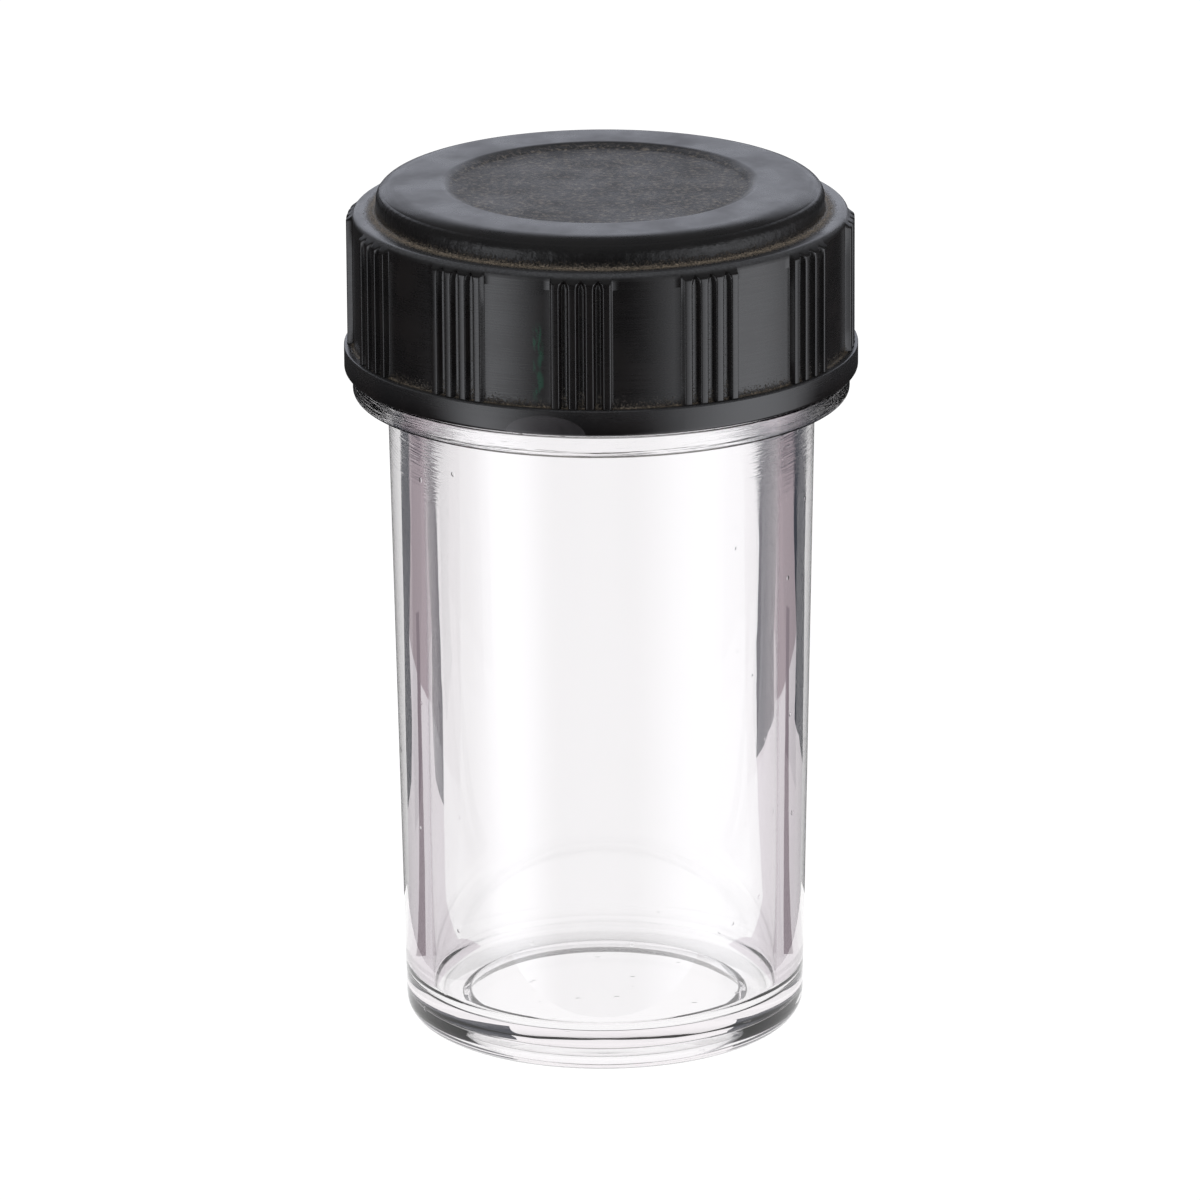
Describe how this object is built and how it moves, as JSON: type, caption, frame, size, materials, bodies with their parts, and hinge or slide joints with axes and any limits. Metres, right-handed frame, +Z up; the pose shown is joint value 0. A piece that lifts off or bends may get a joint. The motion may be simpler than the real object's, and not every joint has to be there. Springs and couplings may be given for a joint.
{
  "type": "specimen jar",
  "caption": "Clear round screw-top specimen jar with a thick drafted wall, a collar under the cap, and a black ribbed cap with a liner.",
  "frame": {"origin": "centre of the jar's foot, on the surface it stands on", "axes": "+Z up along the jar's axis, -Y towards the front of the jar"},
  "size_m": [0.043, 0.043, 0.0729],
  "materials": {
    "clear_plastic": "polished clear polystyrene with fine scratches",
    "black_plastic": "satin moulded black, grainy in the top recess, dusty in the corners",
    "wad_board": "matte pressed pulpboard",
    "facing_film": "smooth off-white film"
  },
  "bodies": {
    "jar": {"jar_body": "clear_plastic"},
    "liner": {"liner_wad": "wad_board", "liner_facing": "facing_film"},
    "cap": {"screw_cap": "black_plastic"}
  },
  "joints": [
    {"name": "cap_lift", "type": "slide", "parent": "jar", "child": "liner", "axis": [0, 0, 1], "range_m": [0, 0.0126]},
    {"name": "cap_turn", "type": "hinge", "parent": "liner", "child": "cap", "pos_m": [0, 0, 0], "axis": [0, 0, 1], "range_deg": [0, 1080]}
  ],
  "couplings": [
    {"joint": "cap_turn", "follows": "cap_lift", "rad_per_m": 1496}
  ]
}
